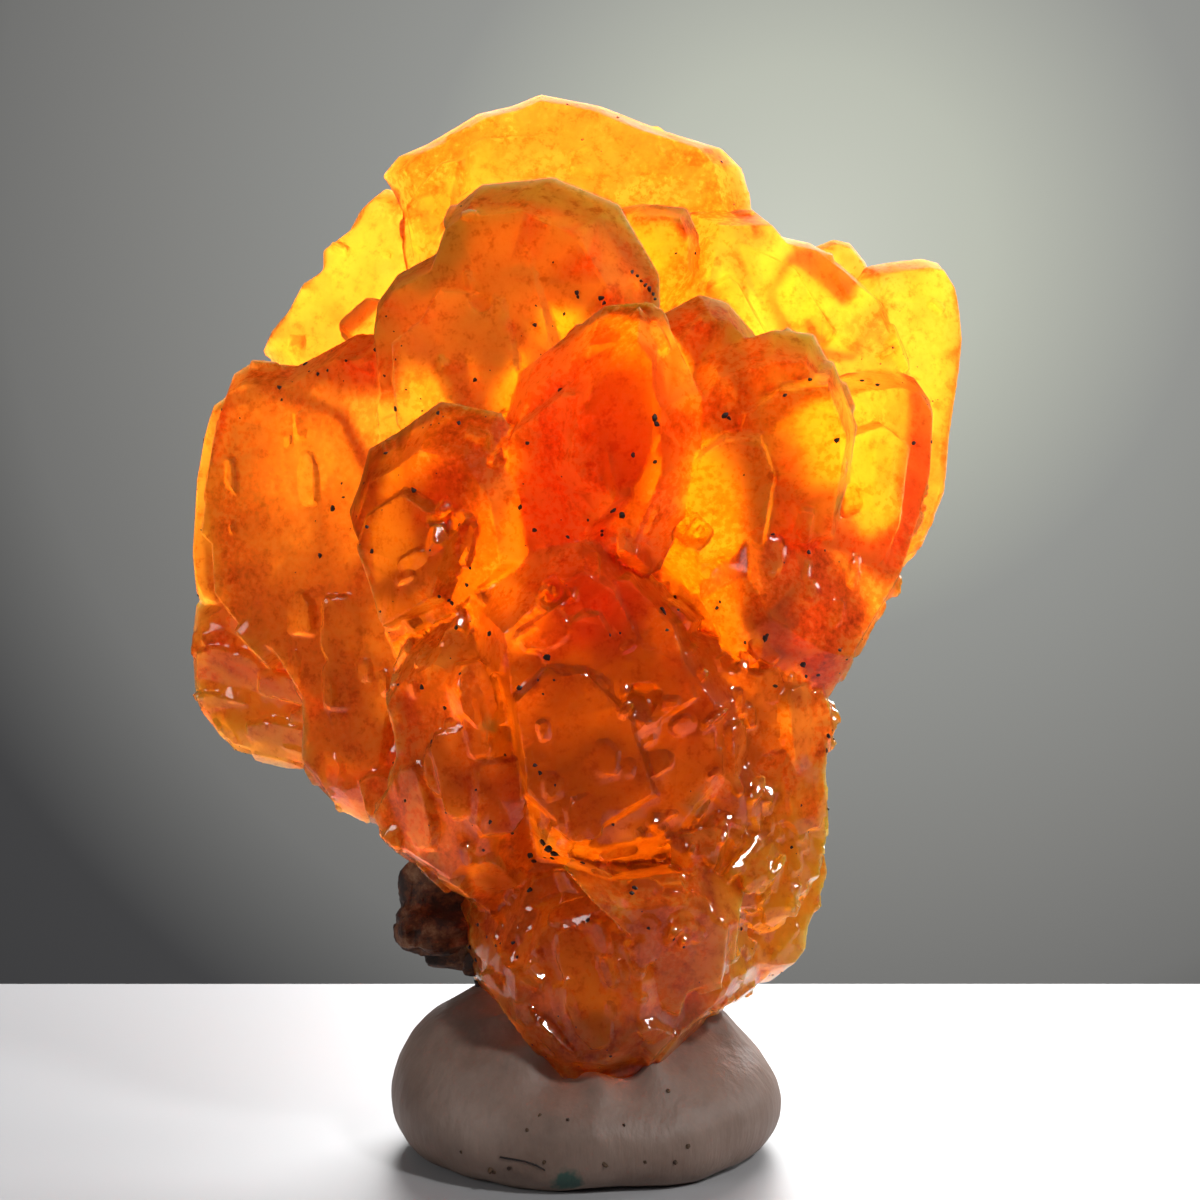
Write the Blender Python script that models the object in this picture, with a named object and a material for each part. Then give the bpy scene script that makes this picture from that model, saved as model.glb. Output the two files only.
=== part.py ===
"""Wulfenite thumbnail specimen: tabular crystals grown together on one stem, with a scrap of
brown matrix, stood in a lump of mineral tack.

Units are metres with +Z up. The origin is the middle of the tack's flat underside, and the
specimen faces -Y. Lengths below are in millimetres until a mesh is made.
"""

import math
import random
from typing import NamedTuple

import bmesh
import bpy
from mathutils import Matrix, Quaternion, Vector, noise

MM = 0.001

# Driving dimensions
TACK_WIDTH = 9.7
TACK_DEPTH = 7.9
TACK_LEFT_HEIGHT = 3.55
TACK_RIGHT_HEIGHT = 2.85
TACK_FRONT_HEIGHT = 2.15
TACK_DENT = 0.035
GAP = 0.34
TWIN_TILT = 9.0
TWIN_RISE = 0.18
TWIN_SHARE = (0.55, 0.75)
TWIN_SHIFT_ACROSS = 0.9
TWIN_SHIFT_UP = 1.2
TWIN_BEVEL_SHARE = 0.6
CORNER_CLIP = (0.2, 0.75)
TABLET_BEVEL_SHARE = 0.45
ROCK_BUMP = 0.42
ROCK_GRAIN = 1.6

# The outlines are drawn on the upright plane through the origin, as an eye in front sees them,
# and each is carried along its sight lines to the depth of its own plate.
EYE = Vector((0.3, -37.0, 12.0))


class Plate(NamedTuple):
    """One crystal plate: how far back its middle lies, which way it faces in degrees, how thick it
    is in front of and behind its widest outline, and how many turned twins grew on it."""

    name: str
    depth: float
    turn: float
    lean: float
    front: float
    back: float
    outline: tuple
    bevel: float = 0.8
    twins: int = 0
    crown: tuple = (0.0, 0.0)


class Tablet(NamedTuple):
    """A square tablet with clipped corners: the place of its middle, the way it faces and is
    rolled in degrees, and its width, height and thickness."""

    name: str
    x: float
    y: float
    z: float
    turn: float
    lean: float
    roll: float
    width: float
    height: float
    thick: float


PLATES = (
    Plate("heart", 0.6, 0, 0, 2.7, 2.5, (
        (-2.8, 18.0), (-1.0, 20.8), (2.0, 20.6), (3.8, 18.0), (4.6, 14.6), (5.0, 11.4),
        (4.4, 9.0), (3.6, 4.8), (-1.0, 4.2), (-3.0, 8.4), (-4.7, 12.0), (-4.0, 14.6)),
        bevel=1.3),
    Plate("top plate", 2.6, -4, 6, 1.0, 0.9, (
        (-5.2, 24.1), (-4.8, 24.6), (-4.1, 24.9), (-2.8, 25.7), (-1.9, 25.9), (-1.2, 26.2),
        (0.3, 25.9), (1.8, 25.3), (3.4, 24.8), (3.9, 24.3), (4.1, 23.6), (4.4, 20.9),
        (3.3, 17.9), (0.3, 16.6), (-3.0, 17.6), (-4.3, 20.1), (-4.7, 22.2), (-4.7, 23.2),
        (-5.0, 23.8)), twins=1, crown=(0.6, -0.6)),
    Plate("back left plate", 4.0, -16, 4, 0.55, 0.5, (
        (-5.1, 23.8), (-5.5, 23.4), (-5.8, 22.8), (-6.6, 22.2), (-6.6, 21.6), (-7.2, 21.2),
        (-7.6, 20.4), (-8.1, 19.8), (-8.2, 19.6), (-7.2, 18.6), (-4.7, 18.4), (-2.6, 20.2),
        (-2.8, 22.4), (-4.2, 23.6)), bevel=0.5),
    Plate("left plate", 1.0, -20, -3, 1.0, 0.9, (
        (-8.9, 19.1), (-8.4, 19.4), (-7.3, 19.3), (-6.7, 19.6), (-5.8, 20.1), (-4.7, 20.1),
        (-3.7, 17.9), (-3.2, 14.4), (-3.5, 11.4), (-4.3, 9.9), (-4.5, 8.6), (-5.0, 7.9),
        (-5.5, 7.8), (-6.1, 8.1), (-6.7, 8.7), (-6.7, 10.5), (-7.5, 11.8), (-8.2, 12.2),
        (-9.2, 13.4), (-9.3, 14.8), (-9.6, 15.1), (-9.4, 16.6), (-9.1, 18.5)), bevel=0.7,
        crown=(0.5, 0.3)),
    Plate("left rear plate", 2.5, -10, 0, 0.5, 0.4, (
        (-9.1, 18.5), (-9.4, 18.3), (-9.6, 17.6), (-9.8, 16.4), (-9.9, 14.5), (-9.8, 13.6),
        (-9.6, 13.1), (-8.0, 12.4), (-5.6, 13.0), (-4.6, 15.9), (-5.8, 18.2), (-7.7, 18.8)),
        bevel=0.4),
    Plate("lower left plate", 2.7, -12, -10, 0.7, 0.6, (
        (-9.8, 13.3), (-9.9, 12.4), (-9.8, 11.1), (-9.7, 10.7), (-8.8, 9.6), (-8.4, 9.5),
        (-6.7, 9.1), (-4.6, 8.9), (-3.4, 10.9), (-4.3, 13.2), (-6.7, 14.2), (-8.7, 13.9)),
        bevel=0.6),
    Plate("left bud", -0.2, -25, 0, 0.5, 1.2, (
        (-5.7, 9.0), (-5.4, 9.2), (-5.0, 9.3), (-4.4, 9.1), (-4.5, 8.6), (-4.7, 8.2),
        (-5.0, 7.8), (-5.4, 7.8)), bevel=0.3),
    Plate("front left plate", -1.0, -14, -10, 1.2, 1.6, (
        (-2.7, 23.9), (-3.3, 23.4), (-3.7, 22.2), (-4.8, 21.6), (-5.3, 20.9), (-5.4, 20.2),
        (-5.2, 18.5), (-5.3, 17.9), (-5.0, 16.4), (-4.0, 14.4), (-1.7, 13.9), (0.8, 15.4),
        (1.9, 18.4), (1.8, 21.6), (0.8, 23.4), (-0.9, 24.1)), twins=2, crown=(-0.4, -0.6)),
    Plate("front lower left plate", -2.0, -22, -16, 1.1, 1.6, (
        (-6.0, 15.6), (-5.7, 16.4), (-5.5, 17.2), (-4.8, 17.6), (-3.7, 18.4), (-2.2, 18.1),
        (-1.2, 16.6), (-0.9, 14.4), (-2.2, 13.1), (-3.5, 12.4), (-4.7, 11.7), (-5.1, 12.8),
        (-5.3, 13.6), (-5.6, 14.8)), twins=1, crown=(0.4, -0.4)),
    Plate("centre plate", -3.0, -20, -12, 1.0, 1.8, (
        (-2.6, 17.1), (-2.1, 18.0), (-1.7, 19.1), (-1.1, 19.6), (0.4, 20.8), (1.6, 20.9),
        (1.9, 20.6), (2.8, 18.6), (2.8, 16.4), (1.8, 14.1), (0.1, 13.4), (-1.7, 14.1),
        (-2.5, 15.6)), twins=1, crown=(0.5, -0.3)),
    Plate("centre lens", -4.0, 12, -14, 0.8, 1.4, (
        (-1.0, 16.6), (-0.9, 17.6), (-0.7, 18.4), (-0.1, 19.3), (1.3, 20.8), (1.8, 20.1),
        (1.9, 18.4), (1.7, 17.1), (1.2, 16.1), (0.3, 15.5), (-0.6, 15.9)), bevel=0.5),
    Plate("centre right plate", -2.4, 14, -12, 0.9, 1.6, (
        (1.4, 20.1), (1.9, 20.6), (2.8, 21.1), (3.5, 20.9), (4.2, 20.1), (4.7, 18.4),
        (3.8, 16.4), (2.0, 15.9), (1.1, 17.4)), bevel=0.6),
    Plate("right front plate", -2.5, 8, -18, 1.0, 1.8, (
        (2.3, 18.9), (2.9, 19.6), (3.8, 19.9), (4.7, 20.2), (5.7, 20.1), (6.0, 19.5),
        (6.5, 17.9), (6.7, 15.9), (5.8, 13.9), (4.0, 12.6), (2.3, 13.1), (1.3, 14.9),
        (1.6, 17.1)), twins=2, crown=(-0.4, 0.5)),
    Plate("small arc plate", 0.0, 6, -12, 0.8, 1.5, (
        (0.5, 22.6), (0.6, 23.0), (0.8, 23.3), (1.4, 23.4), (2.5, 23.3), (2.8, 22.6),
        (2.8, 21.4), (1.8, 20.2), (0.8, 20.8)), bevel=0.45),
    Plate("upper right plate", 1.2, 12, 8, 1.0, 0.9, (
        (2.5, 23.2), (4.2, 23.2), (4.7, 22.6), (5.6, 22.4), (6.4, 21.8), (7.5, 20.8),
        (8.2, 18.9), (7.5, 16.6), (4.8, 15.9), (2.5, 17.9), (2.0, 20.9)), twins=1,
        crown=(-0.3, -0.5)),
    Plate("right plate", -0.9, 24, 8, 1.1, 1.0, (
        (4.8, 18.4), (6.5, 19.1), (7.6, 19.2), (8.2, 19.0), (8.6, 18.4), (8.5, 16.6),
        (8.2, 15.4), (7.6, 13.6), (7.0, 12.6), (6.4, 11.6), (6.0, 10.9), (5.3, 11.0),
        (4.3, 11.6), (3.5, 12.1), (2.8, 13.4), (2.8, 15.9)), twins=1, crown=(-0.5, 0.2)),
    Plate("right rear plate", 2.3, 16, 4, 0.7, 0.7, (
        (6.5, 21.1), (7.0, 21.8), (7.5, 21.9), (8.4, 22.0), (8.8, 21.9), (9.1, 21.4),
        (9.2, 20.9), (9.3, 19.9), (9.2, 19.0), (8.9, 17.1), (8.8, 15.9), (8.2, 14.5),
        (7.3, 13.6), (5.4, 14.9), (4.9, 18.4)), bevel=0.5),
    Plate("far right plate", 2.9, 8, 0, 0.4, 0.5, (
        (5.0, 22.0), (6.2, 22.5), (6.6, 22.4), (7.0, 21.9), (7.4, 20.7), (6.5, 19.2),
        (5.0, 19.4), (4.4, 21.0)), bevel=0.3),
    Plate("lower left body", -1.2, -26, -8, 1.8, 2.4, (
        (-4.7, 12.0), (-4.2, 12.9), (-2.8, 13.8), (-1.2, 12.8), (-0.6, 10.4), (-0.7, 8.1),
        (-1.2, 6.4), (-2.2, 5.4), (-3.1, 6.0), (-4.2, 6.7), (-4.8, 7.1), (-5.2, 7.8),
        (-4.7, 8.6), (-4.3, 9.9), (-4.4, 10.9)), bevel=1.2, crown=(0.4, 0.2)),
    Plate("lower centre body", -2.2, 4, -14, 1.6, 3.0, (
        (-3.0, 13.4), (-2.2, 14.1), (-1.1, 15.1), (-0.2, 15.6), (0.9, 14.9), (1.9, 12.9),
        (3.3, 12.4), (4.4, 10.9), (4.5, 8.4), (3.0, 6.4), (0.3, 5.9), (-1.4, 6.4),
        (-2.3, 8.4), (-2.7, 10.9)), bevel=1.3, twins=2, crown=(-0.6, 0.8)),
    Plate("lower right body", -0.4, 22, -6, 1.7, 1.9, (
        (1.9, 12.8), (3.7, 12.6), (5.2, 12.0), (6.0, 11.0), (5.7, 10.2), (5.4, 9.5),
        (5.5, 8.3), (5.6, 7.2), (5.3, 6.1), (4.3, 5.1), (2.5, 4.9), (1.3, 6.4),
        (1.1, 9.4)), bevel=0.9, crown=(-0.5, 0.5)),
    Plate("lower right facet", -0.9, 34, 10, 1.2, 1.6, (
        (2.2, 9.6), (3.6, 10.0), (4.8, 9.2), (5.0, 7.6), (4.4, 6.2), (3.0, 5.8), (2.0, 7.2)),
        bevel=0.7, crown=(0.2, 0.3)),
    Plate("right flank", 0.9, 30, 4, 1.2, 1.3, (
        (4.3, 8.4), (5.4, 8.6), (5.7, 7.1), (5.3, 5.9), (5.0, 5.2), (4.9, 4.4), (4.5, 3.9),
        (3.9, 3.8), (2.8, 3.9), (2.3, 4.9), (3.0, 6.9)), bevel=0.7),
    Plate("stem", 0.3, 0, 0, 2.6, 2.3, (
        (-3.2, 5.8), (-3.1, 4.9), (-2.6, 3.6), (-2.1, 2.4), (-1.3, 1.4), (0.3, 1.0),
        (1.5, 1.5), (2.4, 2.5), (3.7, 3.6), (4.3, 4.0), (4.6, 4.6), (4.4, 5.3),
        (3.8, 7.2), (0.3, 8.6), (-2.2, 8.0)), bevel=1.2),
    Plate("front tip", -2.7, 10, -18, 0.8, 1.4, (
        (-0.7, 6.8), (0.6, 6.4), (2.3, 6.6), (3.7, 5.8), (3.5, 4.2), (2.4, 3.8), (2.2, 3.1),
        (1.7, 3.3), (1.4, 4.6), (0.6, 5.6)), bevel=0.4),
    Plate("stem blade", -2.2, -16, -6, 0.9, 1.6, (
        (-2.1, 3.8), (-1.9, 4.7), (-1.2, 6.0), (0.3, 6.4), (1.5, 5.8), (2.1, 4.2),
        (2.0, 2.8), (1.3, 2.0), (0.4, 1.6), (-0.5, 1.7), (-1.2, 2.3), (-1.8, 3.0)),
        bevel=0.6, crown=(0.3, 0.3)),
    Plate("left notch blade", 2.4, -20, 10, 0.5, 0.6, (
        (-6.3, 20.2), (-5.4, 21.0), (-4.6, 20.8), (-4.6, 19.6), (-5.8, 19.7)), bevel=0.25),
    Plate("top lens", 1.9, 4, 14, 0.35, 0.6, (
        (-0.7, 24.6), (0.2, 24.9), (1.3, 24.7), (1.8, 24.5), (1.2, 24.1), (0.3, 23.9),
        (-0.4, 24.1)), bevel=0.2),
    Plate("top left step", 2.1, -14, 0, 0.5, 0.6, (
        (-4.6, 23.2), (-4.4, 22.0), (-3.9, 21.8), (-3.2, 23.2), (-3.0, 24.6), (-3.6, 24.5)),
        bevel=0.25),
)

TABLETS = (
    Tablet("rear upper", 0.4, 4.1, 20.8, 168, 14, 20, 6.6, 6.8, 2.0),
    Tablet("rear upper twin", 1.9, 4.3, 18.8, 158, 24, 48, 4.6, 4.2, 1.9),
    Tablet("rear middle", -1.2, 4.7, 15.4, 202, -8, -12, 6.2, 6.6, 2.2),
    Tablet("rear middle twin", -2.2, 4.8, 16.9, 194, 4, 30, 3.8, 4.4, 1.9),
    Tablet("rear middle step", 0.2, 5.1, 14.4, 206, -12, -30, 4.0, 3.6, 2.0),
    Tablet("rear right", 3.9, 3.4, 15.2, 152, 8, 8, 5.2, 6.8, 1.9),
    Tablet("rear right twin", 4.5, 3.4, 13.6, 158, -2, -34, 3.6, 3.8, 1.8),
    Tablet("rear left", -4.6, 2.2, 12.2, 204, 10, 30, 3.6, 4.4, 1.6),
    Tablet("rear lower", 0.8, 3.2, 9.8, 184, -16, 6, 5.6, 6.4, 2.4),
    Tablet("rear lower twin", -0.7, 3.4, 8.7, 190, -10, 38, 3.8, 4.0, 2.0),
    Tablet("rear stem", 1.0, 2.2, 6.0, 166, -10, -14, 4.4, 3.6, 1.8),
    Tablet("rear blade", 2.2, 4.4, 12.4, 236, 12, 12, 4.0, 4.8, 1.0),
    Tablet("rear high blade", -2.4, 4.6, 18.8, 118, -14, -10, 3.8, 4.6, 1.0),
    Tablet("rear bud", 2.8, 4.6, 18.2, 148, 34, 16, 2.6, 2.4, 1.5),
    Tablet("rear low bud", -2.4, 3.6, 11.6, 214, -34, 40, 2.6, 2.8, 1.6),
    Tablet("rear top bud", -2.4, 3.9, 23.4, 168, 24, 28, 2.8, 2.4, 1.0),
    Tablet("right side bud", 5.6, 0.8, 12.8, 62, -12, 10, 2.6, 3.4, 1.6),
    Tablet("left side bud", -4.4, 0.6, 9.6, -70, -8, 30, 2.4, 2.8, 1.6),
    Tablet("low right shard", 3.5, -2.3, 8.6, 40, -20, 24, 1.2, 1.9, 0.8),
    Tablet("middle right shard", 4.1, -1.9, 7.3, 55, 10, -50, 0.9, 2.4, 0.8),
    Tablet("low middle shard", 2.6, -2.5, 7.4, 20, -35, 15, 1.4, 1.5, 0.8),
    Tablet("flank shard", 4.6, -1.5, 6.3, 52, -10, -30, 0.9, 1.6, 0.8),
    Tablet("low strip", -0.2, -2.0, 6.4, -26, -10, 40, 0.6, 2.2, 0.7),
)

# Pits in the crystal faces: left-right, depth, height and radius
PITS = (
    (-3.2, -3.9, 15.0, 0.4), (2.4, -3.2, 14.8, 0.45), (-0.8, -4.4, 13.4, 0.4),
    (1.2, -3.9, 11.0, 0.45), (6.2, -2.1, 15.6, 0.4), (-2.5, -2.7, 20.3, 0.35),
    (-3.1, 5.5, 14.3, 0.45), (-0.9, 5.3, 22.0, 0.4), (2.2, 4.4, 10.9, 0.45),
)

# Lumps of the matrix scrap: left-right, depth, height and radius
MATRIX_LUMPS = (
    (-4.0, 0.6, 5.9, 0.75), (-4.1, 0.2, 5.2, 0.7), (-3.6, 0.9, 4.7, 0.65), (-3.2, 0.2, 4.2, 0.5),
    (-3.9, 1.7, 5.3, 0.8), (-3.4, 2.3, 4.7, 0.7),
)

# Rings of the tack from its foot to the middle of its top: share of its height, share of its width
TACK_RINGS = (
    (0.0, 0.86), (0.08, 0.93), (0.2, 0.98), (0.38, 1.0), (0.58, 0.975), (0.76, 0.9),
    (0.9, 0.79), (0.98, 0.67), (1.0, 0.52), (0.92, 0.3),
)
TACK_SEGMENTS = 36


def clear_scene():
    for old in list(bpy.data.objects):
        bpy.data.objects.remove(old)


def material(name, colour, roughness, transmission=0.0, ior=1.5):
    """A Principled material in one plain finish."""
    made = bpy.data.materials.new(name)
    made.use_nodes = True
    shader = made.node_tree.nodes["Principled BSDF"]
    shader.inputs["Base Color"].default_value = (*colour, 1.0)
    shader.inputs["Roughness"].default_value = roughness
    shader.inputs["Metallic"].default_value = 0.0
    shader.inputs["Transmission Weight"].default_value = transmission
    shader.inputs["IOR"].default_value = ior
    made.diffuse_color = (*colour, 1.0)
    return made


def new_object(name, bm, collection, finish=None):
    """Puts the millimetre mesh of bm in the collection as an object in metres."""
    bmesh.ops.scale(bm, vec=(MM, MM, MM), verts=bm.verts)
    bmesh.ops.recalc_face_normals(bm, faces=bm.faces)
    mesh = bpy.data.meshes.new(name)
    bm.to_mesh(mesh)
    bm.free()
    made = bpy.data.objects.new(name, mesh)
    if finish:
        mesh.materials.append(finish)
    collection.objects.link(made)
    return made


def facing(turn, lean):
    """The direction that a plate's front face looks in."""
    turn, lean = math.radians(turn), math.radians(lean)
    return Vector((
        math.sin(turn) * math.cos(lean),
        -math.cos(turn) * math.cos(lean),
        math.sin(lean),
    ))


def carried(x, z, middle, normal):
    """The drawn point (x, z), moved along its sight line onto the plane of a plate."""
    sight = Vector((x, 0.0, z)) - EYE
    return EYE + sight * ((middle - EYE).dot(normal) / sight.dot(normal))


def tablet_solid(ring, crown, normal, radius, front, back, bevel):
    """A closed tablet: a back face, bevels that meet at the ring, and a front face. The faces are
    the ring made smaller towards the crown."""
    flat = 1.0 - bevel / radius
    bm = bmesh.new()
    start = [crown + (point - crown) * flat - normal * back for point in ring]
    back_face = bm.faces.new([bm.verts.new(point) for point in start])
    face = back_face
    for at, rise, ratio in ((-back, back, 1.0 / flat), (0.0, front, flat)):
        made = bmesh.ops.extrude_face_region(bm, geom=[face])["geom"]
        if face is not back_face:
            bmesh.ops.delete(bm, geom=[face], context="FACES_ONLY")
        moved = [v for v in made if isinstance(v, bmesh.types.BMVert)]
        face = next(f for f in made if isinstance(f, bmesh.types.BMFace))
        about = Matrix.Translation(-(crown + normal * at))
        bmesh.ops.scale(bm, vec=(ratio, ratio, ratio), space=about, verts=moved)
        bmesh.ops.translate(bm, vec=normal * rise, verts=moved)
    return bm


def drawn_middle(plate):
    """The middle of a plate's outline, on the plane that it is drawn on."""
    across = [x for x, _ in plate.outline]
    heights = [z for _, z in plate.outline]
    return Vector((sum(across) / len(across), 0.0, sum(heights) / len(heights)))


def plate_mesh(plate, grown=0.0):
    """A plate drawn from the front, larger all round by the length grown."""
    normal = facing(plate.turn, plate.lean)
    drawn = drawn_middle(plate)
    middle = EYE + (drawn - EYE) * (plate.depth - EYE.y) / -EYE.y
    ring = [carried(x, z, middle, normal) for x, z in plate.outline]
    radius = sum((point - middle).length for point in ring) / len(ring)
    ring = [middle + (point - middle) * (1.0 + grown / radius) for point in ring]
    side = Vector((0, 0, 1)).cross(normal).normalized()
    crown = middle + side * plate.crown[0] + normal.cross(side) * plate.crown[1]
    return tablet_solid(
        ring, crown, normal, radius + grown, plate.front + grown, plate.back + grown, plate.bevel)


def tablet_mesh(tablet, grown=0.0):
    """A square tablet with unevenly clipped corners, larger all round by the length grown."""
    chance = random.Random(tablet.name)
    middle = Vector((tablet.x, tablet.y, tablet.z))
    normal = facing(tablet.turn, tablet.lean)
    side = Vector((0, 0, 1)).cross(normal).normalized()
    side.rotate(Quaternion(normal, math.radians(tablet.roll)))
    up = normal.cross(side)
    half_width, half_height = 0.5 * tablet.width + grown, 0.5 * tablet.height + grown
    ring = []
    for across, along in ((1, 1), (-1, 1), (-1, -1), (1, -1)):
        corner = [
            (across, along * (1.0 - chance.uniform(*CORNER_CLIP))),
            (across * (1.0 - chance.uniform(*CORNER_CLIP)), along),
        ]
        if across * along < 0:
            corner.reverse()
        ring += [middle + side * half_width * a + up * half_height * b for a, b in corner]
    crown = middle + side * chance.uniform(-0.1, 0.1) * tablet.width
    half_thick = 0.5 * tablet.thick + grown
    radius = 0.5 * (half_width + half_height)
    bevel = TABLET_BEVEL_SHARE * tablet.thick
    return tablet_solid(ring, crown, normal, radius, half_thick, half_thick, bevel)


def with_twins(plate):
    """The plate, and the smaller plates that grew on it a few degrees out of line."""
    chance = random.Random(plate.name)
    middle = drawn_middle(plate)
    grown = [plate]
    for number in range(plate.twins):
        share = chance.uniform(*TWIN_SHARE)
        twin_x = middle.x + chance.uniform(-TWIN_SHIFT_ACROSS, TWIN_SHIFT_ACROSS)
        twin_z = middle.z + chance.uniform(-TWIN_SHIFT_UP, TWIN_SHIFT_UP)
        outline = tuple(
            (twin_x + (x - middle.x) * share, twin_z + (z - middle.z) * share)
            for x, z in plate.outline[::2]
        )
        grown.append(plate._replace(
            name=f"{plate.name} twin {number + 1}",
            turn=plate.turn + chance.uniform(-TWIN_TILT, TWIN_TILT),
            lean=plate.lean + chance.uniform(-TWIN_TILT, TWIN_TILT),
            front=plate.front + TWIN_RISE,
            back=plate.back + TWIN_RISE,
            outline=outline,
            bevel=TWIN_BEVEL_SHARE * plate.bevel,
        ))
    return grown


def crystal_cluster(name, collection, helpers, finish=None, grown=0.0):
    """All the plates and tablets joined into one solid, larger all round by the length grown."""
    parts = [
        new_object(f"{name} {plate.name}", plate_mesh(plate, grown), helpers)
        for main_plate in PLATES
        for plate in with_twins(main_plate)
    ]
    parts += [
        new_object(f"{name} {tablet.name}", tablet_mesh(tablet, grown), helpers)
        for tablet in TABLETS
    ]
    first, *others = parts
    cluster = bpy.data.objects.new(name, first.data)
    collection.objects.link(cluster)
    if finish:
        cluster.data.materials.append(finish)
    bpy.data.objects.remove(first)
    for other in others:
        as_helper(other)
        boolean(cluster, "UNION", other)
    return cluster


def as_helper(obj):
    """Keeps a shape that only cuts or joins out of the specimen itself."""
    obj.hide_render = True
    obj.display_type = "WIRE"


def boolean(target, operation, other):
    step = target.modifiers.new(f"{operation} {other.name}", "BOOLEAN")
    step.operation = operation
    step.object = other


def rock_lump(number, x, y, z, radius):
    """A rough angular lump: an icosphere pushed in and out by smooth noise."""
    bm = bmesh.new()
    bmesh.ops.create_icosphere(bm, subdivisions=2, radius=radius)
    for vert in bm.verts:
        place = vert.co * (ROCK_GRAIN / radius) + Vector((7.0 * number, 0.0, 0.0))
        vert.co *= 1.0 + ROCK_BUMP * noise.noise(place)
    bmesh.ops.translate(bm, vec=(x, y, z), verts=bm.verts)
    return bm


def press_pits(cluster, helpers):
    """Small rough pits in the faces of the crystals."""
    for number, pit in enumerate(PITS, start=1):
        cutter = new_object(f"pit {number}", rock_lump(20 + number, *pit), helpers)
        as_helper(cutter)
        boolean(cluster, "DIFFERENCE", cutter)


def matrix_scrap(collection, helpers, clearance, finish):
    """The scrap of brown rock, a clear gap away from the crystals that it grew against."""
    scrap = new_object("matrix", rock_lump(0, *MATRIX_LUMPS[0]), collection, finish)
    for number, lump in enumerate(MATRIX_LUMPS[1:], start=1):
        other = new_object(f"matrix lump {number}", rock_lump(number, *lump), helpers)
        as_helper(other)
        boolean(scrap, "UNION", other)
    boolean(scrap, "DIFFERENCE", clearance)
    return scrap


def tack_height(angle):
    """How high the pressed tack stands, higher on the left and lowest in front."""
    across, front = math.cos(angle), max(0.0, -math.sin(angle))
    side = 0.5 * (TACK_LEFT_HEIGHT + TACK_RIGHT_HEIGHT)
    lean = 0.5 * (TACK_RIGHT_HEIGHT - TACK_LEFT_HEIGHT) * across
    return side + lean - (side - TACK_FRONT_HEIGHT) * front ** 2


def tack_lump(collection, clearance, finish):
    """A soft lump with a flat foot, made ring by ring, with the cluster's seat pressed into it."""
    bm = bmesh.new()
    bmesh.ops.create_circle(bm, cap_ends=False, radius=1.0, segments=TACK_SEGMENTS)
    edges = list(bm.edges)
    for number, (height_share, width_share) in enumerate(TACK_RINGS):
        if number:
            made = bmesh.ops.extrude_edge_only(bm, edges=edges)["geom"]
            edges = [e for e in made if isinstance(e, bmesh.types.BMEdge)]
        for vert in {v for edge in edges for v in edge.verts}:
            angle = math.atan2(vert.co.y, vert.co.x)
            dent = 1.0 + TACK_DENT * noise.noise(Vector((
                1.7 * math.cos(angle), 1.7 * math.sin(angle), 2.0 * height_share)))
            vert.co.x = 0.5 * TACK_WIDTH * width_share * dent * math.cos(angle)
            vert.co.y = 0.5 * TACK_DEPTH * width_share * dent * math.sin(angle)
            vert.co.z = tack_height(angle) * height_share
    bmesh.ops.holes_fill(bm, edges=bm.edges)
    lump = new_object("mineral_tack", bm, collection, finish)
    lump.data.shade_smooth()
    boolean(lump, "DIFFERENCE", clearance)
    return lump


def main():
    clear_scene()
    scene = bpy.context.scene
    specimen = bpy.data.collections.new("wulfenite_specimen")
    helpers = bpy.data.collections.new("helpers")
    scene.collection.children.link(specimen)
    scene.collection.children.link(helpers)

    orange = material("wulfenite orange", (0.95, 0.30, 0.02), 0.12, transmission=1.0, ior=1.6)
    brown = material("matrix brown", (0.09, 0.035, 0.02), 0.85)
    grey = material("tack grey", (0.42, 0.40, 0.38), 0.5)

    crystals = crystal_cluster("wulfenite_crystals", specimen, helpers, orange)
    press_pits(crystals, helpers)
    clearance = crystal_cluster("crystal clearance", helpers, helpers, grown=GAP)
    as_helper(clearance)
    matrix_scrap(specimen, helpers, clearance, brown)
    tack_lump(specimen, clearance, grey)


main()
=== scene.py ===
"""The looks of the wulfenite specimen: orange crystals with growth ledges, small tablets and dark
grains, a rough brown matrix scrap and kneaded mineral tack, lit from behind.

Meshes are worked on in millimetres and stored in metres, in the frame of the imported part.
"""

import math
import random

import bmesh
import bpy
from mathutils import Matrix, Quaternion, Vector, noise
from mathutils.bvhtree import BVHTree


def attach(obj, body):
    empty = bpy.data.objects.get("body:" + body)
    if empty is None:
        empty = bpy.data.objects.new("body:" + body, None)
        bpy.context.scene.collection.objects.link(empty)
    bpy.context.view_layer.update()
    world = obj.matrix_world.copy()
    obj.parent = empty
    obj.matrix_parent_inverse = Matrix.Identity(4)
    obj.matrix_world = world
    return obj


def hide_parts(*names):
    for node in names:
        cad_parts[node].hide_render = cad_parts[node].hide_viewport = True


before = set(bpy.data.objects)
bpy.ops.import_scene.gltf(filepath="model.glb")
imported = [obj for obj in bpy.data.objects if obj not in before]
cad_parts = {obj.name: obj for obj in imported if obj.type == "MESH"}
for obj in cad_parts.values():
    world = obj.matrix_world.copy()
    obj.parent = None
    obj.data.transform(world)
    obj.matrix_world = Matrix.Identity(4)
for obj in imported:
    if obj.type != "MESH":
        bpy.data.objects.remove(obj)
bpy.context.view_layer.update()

# A millimetre in metres, and the distance in millimetres up to which loose corners are joined
MM = 0.001
SEAM = 0.0005

# The photograph's view: its side in pixels, focal length in pixels and the row of the horizon
PHOTO_SIDE = 1200
FOCAL_PIXELS = 1480
HORIZON_ROW = 655
SENSOR_MM = 36.0
EYE = Vector((0.3, -37.0, 12.0))
PITCH = math.atan((HORIZON_ROW - PHOTO_SIDE / 2) / FOCAL_PIXELS)

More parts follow.
